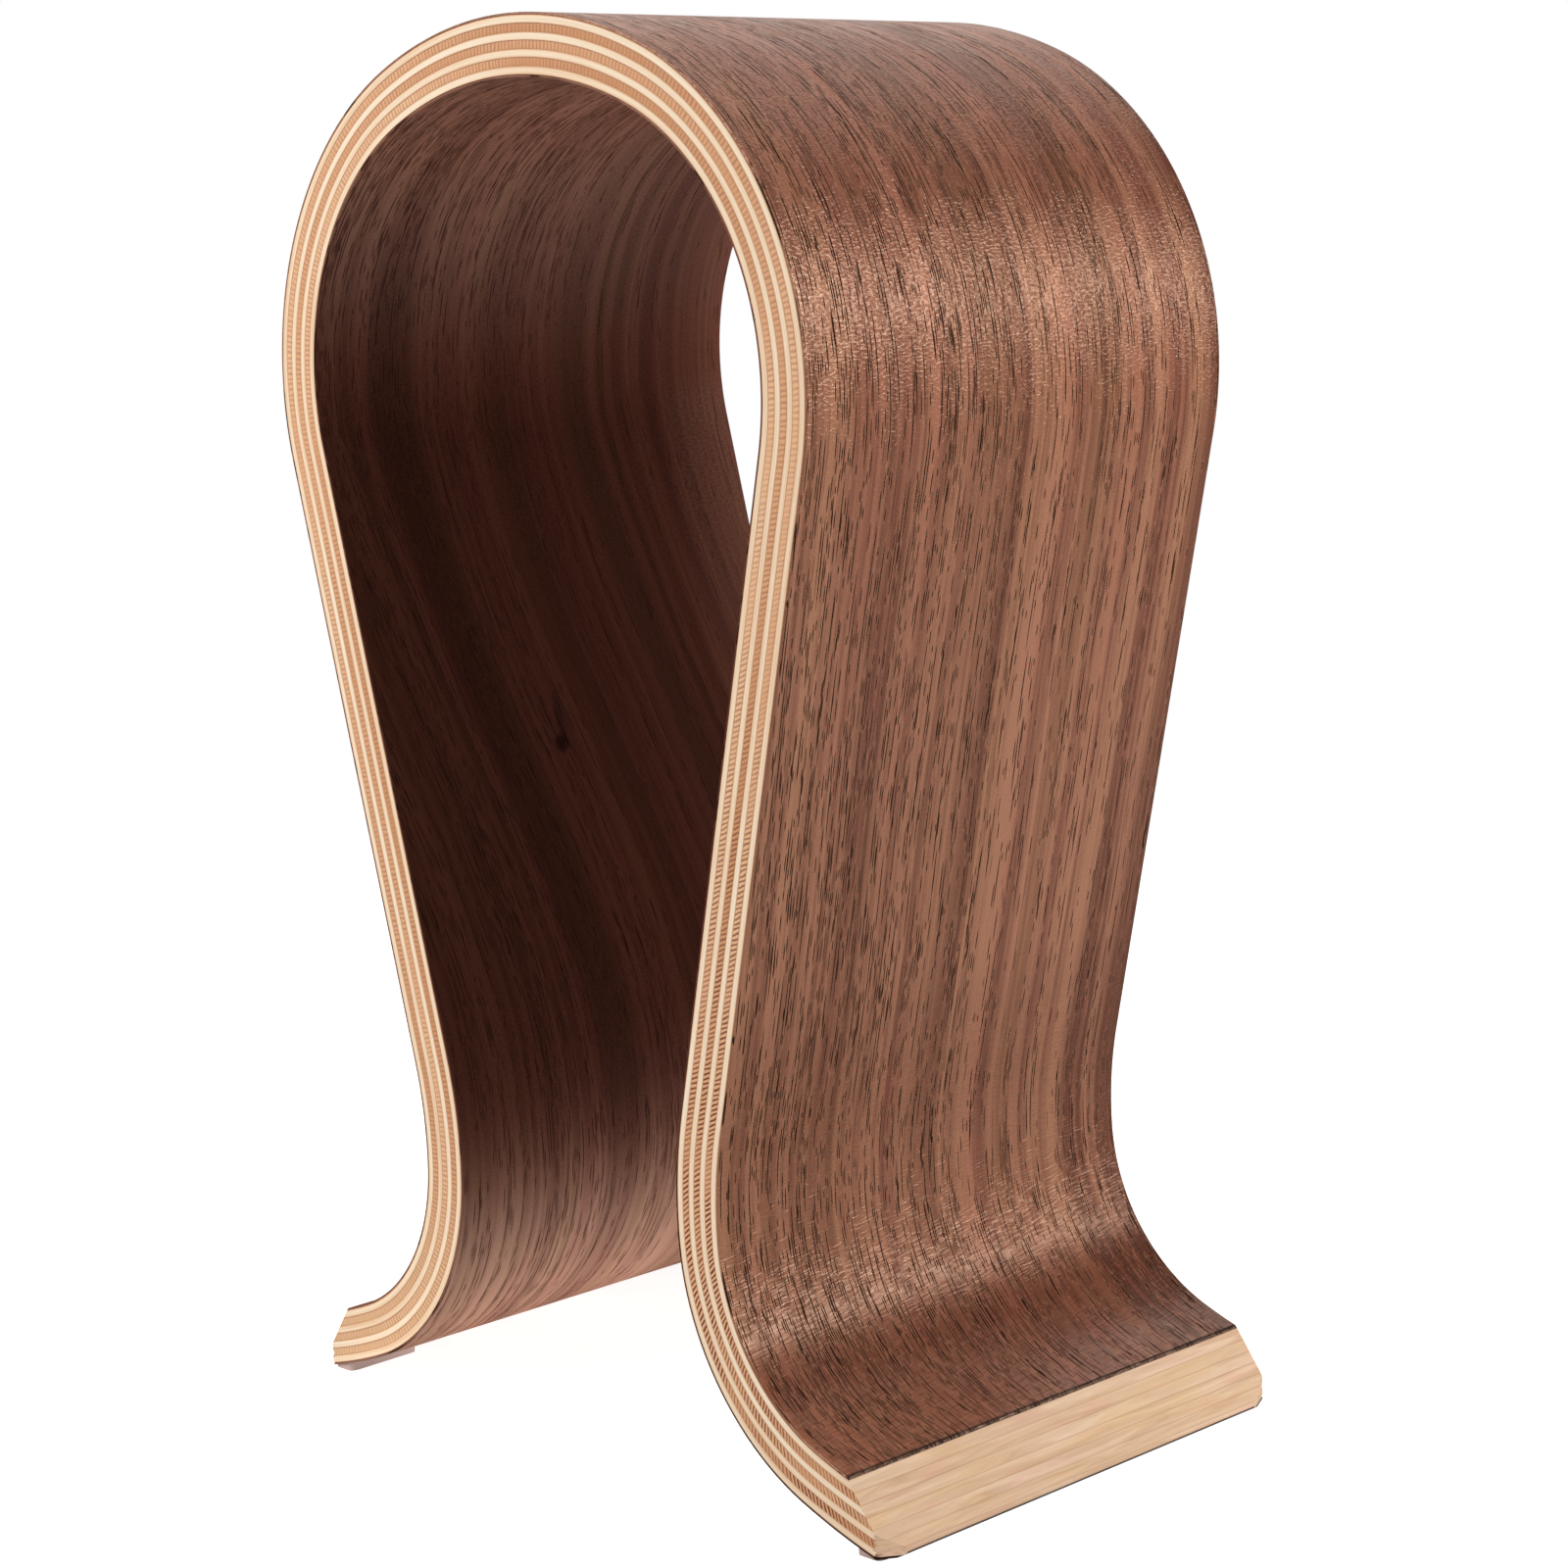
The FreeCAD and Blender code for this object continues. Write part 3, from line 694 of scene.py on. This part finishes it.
def outer_walnut():
    """Painted shade beside the crown and at the ankle, darker and redder at the right toe, partly as
    painted shade, with ripples that catch the light.
    """
    wood = Walnut("outer_walnut", OUTER_PORE, drift=0.0, sway=6 * MM, seed=3.1)
    dark, _, light = OUTER_PALETTE
    colour = wood.banded(wood.shaded(OUTER_PALETTE), OUTER_BANDS)
    colour = wood.hued(colour)
    wood.open_pores(crowding=0.0)
    colour = wood.lined(colour, dark, OUTER_TOE_TINT_AND_SHADE)
    # Painted shade beside the crown and at the ankle.
    colour = wood.painted_shade_near(colour, CROWN_SIDE, CROWN_SIDE_REACH, 1.0, CROWN_SIDE_PAINTED_SHADE)
    colour = wood.painted_shade_near(colour, ANKLE, ANKLE_REACH, 0.8, ANKLE_PAINTED_SHADE)
    colour = wood.pored(colour, light, 0.95)
    colour = wood.dark_ended(colour, HALF_STRIP)
    return wood.polished(colour, relief=0.20 * MM, specular=0.62)


def inner_walnut():
    """Darker and smoother than the outer face, with painted light and reflection near the crown and the
    left foot.
    """
    wood = Walnut("inner_walnut", INNER_PORE, drift=26 * MM, sway=9 * MM, seed=7.7)
    dark, _, light = INNER_PALETTE
    # Painted light and reflection: the inner face turns lighter near the crown and the left foot, and less
    # red at the foot. Near the crown the same mask also adds pores.
    painted_light_and_pores_near_crown = wood.maths("MULTIPLY", wood.step(wood.reach, *PAINTED_LIGHT_CROWN_STRETCH),
                            wood.step(wood.depth, *PAINTED_LIGHT_CROWN_DEPTHS, 1.0, 0.2))
    painted_light_near_foot = wood.step(wood.station, *PAINTED_LIGHT_FOOT_STRETCH, 0.0, 0.95)
    colour = wood.mix(wood.maths("MAXIMUM", painted_light_and_pores_near_crown, painted_light_near_foot),
                      wood.shaded(INNER_PALETTE), wood.shaded(PAINTED_LIGHT_PALETTE))
    colour = wood.mix(painted_light_near_foot, colour, PAINTED_LIGHT_FOOT_TINT, "MULTIPLY")
    # The bands fade under the painted light.
    painted_light = wood.maths("MULTIPLY_ADD", painted_light_near_foot, 0.7, painted_light_and_pores_near_crown)
    colour = wood.banded(colour, INNER_BANDS, wood.maths("SUBTRACT", 1.0, painted_light, clamp=True))
    colour = wood.hued(colour)
    wood.open_pores(crowding=-0.15, extra=wood.maths("MULTIPLY", painted_light_and_pores_near_crown, 0.22))
    colour = wood.lined(colour, dark, INNER_TOE_TINT)
    colour = wood.pored(colour, light, 0.75)
    colour = with_knot(wood, colour)
    colour = wood.dark_ended(colour, -HALF_STRIP)
    return wood.polished(colour, relief=0.02 * MM, specular=0.08)


# ---------------------------------------------------------------- plies and pads

PLY_FIBRES = (28.0, 900.0, 2600.0)
PLY_DRIFT = (14.0, 60.0, 200.0)
PLY_MOTTLE = (150.0, 45.0, 260.0)
LONG_END_FIBRES = (600.0, 40.0, 700.0)
CUT_WOBBLE = (420.0, 20.0, 300.0)
CROSS_PATCHES = (55.0, 20.0, 100.0)
CROSS_DRIFT = (9.0, 10.0, 0.0)
CROSS_END_FIBRES = (260.0, 22.0, 500.0)
PAD_SPECKLE = (1800.0, 1800.0, 1800.0)

# Tones as (position, colour) stops, for the strip's edges and for the toes' ends.
LONG_EDGE_TONES = [(0.30, srgb(228, 186, 146)), (0.48, srgb(245, 218, 186)), (0.70, srgb(252, 236, 212))]
LONG_END_TONES = [(0.25, srgb(208, 171, 138)), (0.50, srgb(225, 191, 158)), (0.75, srgb(237, 208, 178))]
CROSS_EDGE_TONES = [(0.28, srgb(206, 146, 102)), (0.50, srgb(226, 169, 126)), (0.72, srgb(240, 192, 150))]
CROSS_END_TONES = [(0.25, srgb(206, 167, 132)), (0.50, srgb(224, 189, 154)), (0.75, srgb(237, 206, 174))]
PAD_TONES = [(0.3, srgb(178, 150, 142)), (0.7, srgb(208, 182, 174))]
LONG_BESIDE_GLUE = srgb(224, 172, 130)
LONG_GLUE = srgb(176, 124, 84)
CROSS_GLUE = srgb(172, 112, 72)
CROSS_LEFT_FOOT = srgb(226, 186, 144)
CUT_COLOUR = srgb(104, 42, 20)
# Painted shade for faces that turn down.
PAINTED_SHADE_ARRIS = srgb(40, 26, 22)
YELLOWER = (1.0, 0.96, 0.87, 1)
PINKER = (0.98, 0.90, 0.93, 1)

# Stretches of station over which a ply changes, as (from, to).
LEAN_STRETCH = (80 * MM, 180 * MM)
ROUGH_SAWN_STRETCH = (120 * MM, 270 * MM)
PALE_FOOT_STRETCH = (-270 * MM, -305 * MM)

# The upward part of a face's normal over which painted shade darkens faces that turn down, and the depth
# part where it is an edge.
PAINTED_SHADE_FACINGS = (-0.15, -0.45)
EDGE_FACINGS = (0.6, 0.9)

PLY_SEED_STEP = 1.3
CUT_PITCH = 1.05 * MM
GLUE_REACH = 0.14 * MM
GLUE_STAIN_REACH = 0.36 * MM


class Ply(Paint):
    """Core ply between two offsets, which shows on the strip's edges and on the toes' ends."""

    def __init__(self, name, inner, outer, seed):
        super().__init__(name)
        self.middle = (inner + outer) / 2
        self.half = (outer - inner) / 2
        self.station, self.depth, self.offset = self.split()
        self.place = self.combine(self.maths("ADD", self.station, seed), self.depth, self.offset)
        normal = self.node("ShaderNodeNewGeometry").outputs["True Normal"]
        _, facing_depth, self.facing_up = self.split(normal)
        self.on_edge = self.step(self.maths("ABSOLUTE", facing_depth), *EDGE_FACINGS)

    def beside_glue(self, reach):
        """1 where this ply meets its neighbours, falling to 0 within the reach."""
        from_middle = self.maths("ABSOLUTE", self.maths("SUBTRACT", self.offset, self.middle))
        return self.step(from_middle, self.half - reach, self.half - reach / 5)

    def mottled(self, colour):
        """The colour with yellower and pinker patches."""
        patch = self.noise(PLY_MOTTLE, 2.0, 0.6)
        colour = self.mix(self.step(patch, 0.50, 0.66, 0.0, 0.9), colour, YELLOWER, "MULTIPLY")
        return self.mix(self.step(patch, 0.48, 0.34, 0.0, 0.9), colour, PINKER, "MULTIPLY")

    def glued(self, end, edge, glue_colour, edge_strength):
        """The end's and the edge's colours, each on its own faces, with faint glue lines."""
        colour = self.mix(self.on_edge, end, edge)
        strength = self.step(self.on_edge, 0, 1, 0.30, edge_strength)
        return self.mix(self.maths("MULTIPLY", self.beside_glue(GLUE_REACH), strength), colour, glue_colour)


def long_grain_ply(name, inner, outer, seed):
    """Pale ply with its grain along the strip. Where it turns down, as on the toe's rounding, painted shade
    darkens it.
    """
    wood = Ply(name, inner, outer, seed)
    fibres = wood.noise(PLY_FIBRES, 3.0, 0.6)
    drift = wood.noise(PLY_DRIFT, 2.0)
    tone = wood.maths("MULTIPLY_ADD", fibres, 0.6, wood.maths("MULTIPLY", drift, 0.4))
    edge = wood.ramp(tone, LONG_EDGE_TONES)
    edge = wood.mix(wood.beside_glue(GLUE_STAIN_REACH), edge, LONG_BESIDE_GLUE)
    end = wood.mottled(wood.ramp(wood.noise(LONG_END_FIBRES, 3.0, 0.6, 1.0), LONG_END_TONES))
    colour = wood.glued(end, edge, LONG_GLUE, 0.22)
    # Painted shade on faces that turn down.
    colour = wood.mix(wood.step(wood.facing_up, *PAINTED_SHADE_FACINGS, 0.0, 0.95), colour, PAINTED_SHADE_ARRIS)
    return wood.finish(colour, 0.62, wood.bump(fibres, 0.05 * MM, 0.6), 0.3)


def cross_grain_ply(name, inner, outer, seed):
    """Tan ply with its grain from front to rear, so its end grain shows along the strip's edge.

    The saw's cuts hatch the edge. They lean and are deepest down the right leg.
    """
    wood = Ply(name, inner, outer, seed)
    lean = wood.maths("MULTIPLY", wood.offset, wood.step(wood.station, *LEAN_STRETCH, 0.0, 0.7))
    wobble = wood.maths("MULTIPLY", wood.noise(CUT_WOBBLE, 2.0), 6.0)
    hatch = wood.maths("SINE", wood.maths(
        "MULTIPLY_ADD", wood.maths("ADD", wood.station, lean), 2 * math.pi / CUT_PITCH, wobble))
    patch = wood.noise(CROSS_PATCHES, 2.0)
    drift = wood.noise(CROSS_DRIFT, 1.0)
    tone = wood.maths("MULTIPLY_ADD", wood.maths("SUBTRACT", patch, 0.5), 0.35, drift)
    edge = wood.ramp(tone, CROSS_EDGE_TONES)
    edge = wood.mix(wood.step(wood.station, *PALE_FOOT_STRETCH, 0.0, 0.6), edge, CROSS_LEFT_FOOT)
    rough_sawn = wood.step(wood.station, *ROUGH_SAWN_STRETCH, 0.35, 1.0)
    cuts = wood.maths("MULTIPLY", wood.step(hatch, -0.1, 0.6), wood.step(patch, 0.35, 0.60, 0.45, 1.0))
    edge = wood.mix(wood.maths("MULTIPLY", cuts, rough_sawn), edge, CUT_COLOUR)
    end = wood.mottled(wood.ramp(wood.noise(CROSS_END_FIBRES, 3.0, 0.6, 1.5), CROSS_END_TONES))
    colour = wood.glued(end, edge, CROSS_GLUE, 0.40)
    return wood.finish(colour, 0.66, wood.bump(wood.maths("MULTIPLY", hatch, -0.3), 0.07 * MM, 0.7), 0.3)


def pad_material():
    """Thin, soft, speckled pad in a dull pinkish brown."""
    pad = Paint("anti_slip_pad_material")
    speckle = pad.noise(PAD_SPECKLE, 3.0)
    return pad.finish(pad.ramp(speckle, PAD_TONES), 0.6, pad.bump(speckle, 0.05 * MM, 0.5), 0.4)


# ---------------------------------------------------------------- the pieces

def put_in_place(piece, material, node):
    """Dresses a piece and hands it to the frame in place of its CAD node."""
    piece.data.materials.append(material)
    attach(piece, BODY)
    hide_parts(node)


def add_veneers():
    """The dark face veneers on the strip's outer and inner sides."""
    outer = make_layer("outer_veneer_sheet", HALF_CORE, HALF_STRIP, VENEER_EASE, OUTER_VENEER_LEVELS)
    put_in_place(outer, outer_walnut(), "walnut_veneer_outer")
    inner = make_layer("inner_veneer_sheet", -HALF_STRIP, -HALF_CORE, VENEER_EASE, INNER_VENEER_LEVELS)
    put_in_place(inner, inner_walnut(), "walnut_veneer_inner")


PLY_KINDS = (("long_grain_ply", long_grain_ply), ("cross_grain_ply", cross_grain_ply))


def add_plies():
    """The seven core plies, from the outer face inward, their grain alternating."""
    for number in range(PLY_COUNT):
        outer = HALF_CORE - number * PLY
        inner = outer - PLY
        kind, dress = PLY_KINDS[number % 2]
        node = f"{kind}_{number // 2 + 1}"
        levels = INNERMOST_PLY_LEVELS if number == PLY_COUNT - 1 else PLY_LEVELS
        piece = make_layer(f"{node}_sheet", inner, outer, PLY_EASE, levels)
        material = dress(f"{node}_wood", inner, outer, seed=PLY_SEED_STEP * number)
        put_in_place(piece, material, node)


def dress_pads():
    """Gives the pads, which stay as their CAD nodes, their material."""
    material = pad_material()
    for name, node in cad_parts.items():
        if name.startswith("anti_slip_pad"):
            node.data.materials.clear()
            node.data.materials.append(material)


# ---------------------------------------------------------------- stage, light and camera

WHITE = (1, 1, 1, 1)
AMBIENT = 0.10

# The floor throws light up from behind the stand and from a spot between its feet.
FLOOR_RADIUS = 1.3
FLOOR_SHOWN = 0.9
REAR_GLOW = 3.3
REAR_GLOW_DEPTHS = (-50 * MM, 350 * MM)
SPOT_GLOW = 3.0
SPOT = (-30 * MM, -15 * MM, 0)
SPOT_CORE_AND_REACH = (20 * MM, 85 * MM)
FADE_REACHES = (0.25, FLOOR_RADIUS * 0.8)
FLOOR_SIDES = 96
PAPER_GREY = (0.6, 0.6, 0.6, 1)
MIRRORED_GREY = (0.12, 0.12, 0.12, 1)

# The camera looks at a point on the front edge of the strip.
TARGET = Vector((69.21 * MM, -HALF_DEPTH, 143.55 * MM))
BEARING = math.radians(47.075)
RISE = math.radians(8.963)
ROLL = math.radians(-2.494)
CAMERA_DISTANCE = 0.5939
FOCAL_LENGTH = 75.66
SENSOR_WIDTH = 36.0
NEAREST_SEEN = 0.01


def floor_glow(paper, rays):
    """Light that the floor gives off: white to the camera, and on the stand where the glows are."""
    glow = paper.step(paper.split()[1], *REAR_GLOW_DEPTHS, 0.0, REAR_GLOW)
    from_spot = paper.node("ShaderNodeVectorMath", operation="DISTANCE")
    paper.join(paper.place, from_spot.inputs[0])
    from_spot.inputs[1].default_value = SPOT
    spot = paper.step(from_spot.outputs["Value"], *SPOT_CORE_AND_REACH, SPOT_GLOW, 0.0)
    glow = paper.maths("MULTIPLY", paper.maths("ADD", glow, spot), rays["Is Diffuse Ray"])
    return paper.maths("MULTIPLY_ADD", rays["Is Camera Ray"], FLOOR_SHOWN, glow)


def fade_out(paper):
    """Turns the floor see-through towards its rim."""
    away = paper.node("ShaderNodeVectorMath", operation="LENGTH")
    paper.join(paper.place, away.inputs[0])
    blend = paper.node("ShaderNodeMixShader")
    paper.join(paper.step(away.outputs["Value"], *FADE_REACHES), blend.inputs[0])
    paper.join(paper.shader.outputs[0], blend.inputs[1])
    paper.join(paper.node("ShaderNodeBsdfTransparent").outputs[0], blend.inputs[2])
    paper.join(blend.outputs[0], paper.nodes["Material Output"].inputs["Surface"])


def add_floor():
    """A white table that fades out into the background and throws light up at the stand."""
    bpy.ops.mesh.primitive_circle_add(vertices=FLOOR_SIDES, radius=FLOOR_RADIUS, fill_type="NGON")
    floor = bpy.context.active_object
    floor.name = "floor"
    paper = Paint("floor_paper", "frame")
    rays = paper.node("ShaderNodeLightPath").outputs
    paper.join(floor_glow(paper, rays), paper.shader.inputs["Emission Strength"])
    paper.shader.inputs["Emission Color"].default_value = WHITE
    paper.finish(paper.mix(rays["Is Glossy Ray"], PAPER_GREY, MIRRORED_GREY), 0.9, None, 0.1)
    fade_out(paper)
    floor.data.materials.append(paper.material)


def add_world():
    """White behind the object, and a dimmer even light on it."""
    world = bpy.data.worlds.new("studio")
    bpy.context.scene.world = world
    world.use_nodes = True
    nodes, links = world.node_tree.nodes, world.node_tree.links
    background = nodes["Background"]
    seen = nodes.new("ShaderNodeLightPath").outputs["Is Camera Ray"]
    strength = nodes.new("ShaderNodeMapRange")
    strength.inputs["To Min"].default_value = AMBIENT
    strength.inputs["To Max"].default_value = 1.0
    links.new(seen, strength.inputs["Value"])
    links.new(strength.outputs["Result"], background.inputs["Strength"])
    background.inputs["Color"].default_value = WHITE


def add_softbox(name, direction, distance, width, height, level):
    """A soft light that faces the stand; the level is how bright it makes white paper that faces it."""
    lamp = bpy.data.lights.new(name, "AREA")
    lamp.shape = "RECTANGLE"
    lamp.size = width
    lamp.size_y = height
    lamp.energy = level * (math.pi * distance) ** 2
    box = bpy.data.objects.new(name, lamp)
    bpy.context.scene.collection.objects.link(box)
    middle = Vector((0, 0, HEIGHT / 2))
    towards = Vector(direction).normalized()
    box.location = middle + towards * distance
    box.rotation_euler = (-towards).to_track_quat("-Z", "Y").to_euler()


def add_lights():
    """A small hard box on the right makes the glints; three wide ones fill in."""
    add_world()
    add_softbox("right_softbox", (0.915, 0.10, 0.38), distance=0.9, width=0.20, height=0.24, level=0.63)
    add_softbox("front_left_softbox", (-0.42, -0.85, 0.50), distance=1.0, width=0.7, height=0.7, level=0.90)
    add_softbox("top_softbox", (0.10, 0.0, 1.0), distance=1.2, width=1.0, height=1.0, level=0.21)
    add_softbox("rear_left_softbox", (-0.55, 0.67, 0.45), distance=1.2, width=1.2, height=0.9, level=0.40)


def add_camera():
    """The camera, by its bearing, height angle, roll and distance from the point it looks at."""
    back = Vector((math.sin(BEARING) * math.cos(RISE), -math.cos(BEARING) * math.cos(RISE), math.sin(RISE)))
    right = (-back).cross(Vector((0, 0, 1))).normalized()
    up = right.cross(-back)
    rolled_right = right * math.cos(ROLL) + up * math.sin(ROLL)
    rolled_up = up * math.cos(ROLL) - right * math.sin(ROLL)
    lens = bpy.data.cameras.new("camera")
    lens.sensor_width = SENSOR_WIDTH
    lens.lens = FOCAL_LENGTH
    lens.clip_start = NEAREST_SEEN
    camera = bpy.data.objects.new("camera", lens)
    bpy.context.scene.collection.objects.link(camera)
    turn = Matrix((rolled_right, rolled_up, back)).transposed().to_4x4()
    camera.matrix_world = Matrix.Translation(TARGET + back * CAMERA_DISTANCE) @ turn
    bpy.context.scene.camera = camera


add_camera()
add_floor()
add_lights()
add_veneers()
add_plies()
dress_pads()
bpy.context.scene.view_settings.view_transform = "Standard"
